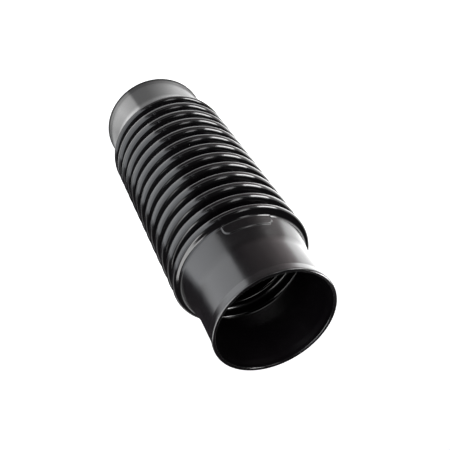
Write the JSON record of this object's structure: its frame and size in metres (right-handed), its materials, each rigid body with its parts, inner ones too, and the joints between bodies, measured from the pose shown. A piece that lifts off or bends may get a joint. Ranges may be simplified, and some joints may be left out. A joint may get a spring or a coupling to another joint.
{
  "type": "flexible blower tube",
  "caption": "Flexible corrugated blower tube moulded in one piece, with rounded bellows rings between a wide and a narrow plain cuff, each cuff ending in a raised lip.",
  "frame": {"origin": "centre of the wide cuff's rim, on the plane the tube stands on", "axes": "+Z along the tube's axis from the wide cuff to the narrow one; +X towards one mould seam"},
  "size_m": [0.094, 0.094, 0.25],
  "materials": {
    "tube_skin": "glossy black moulded plastic, with a fine mould seam down two sides"
  },
  "bodies": {
    "root": {"bellows_tube": "tube_skin"}
  },
  "joints": []
}
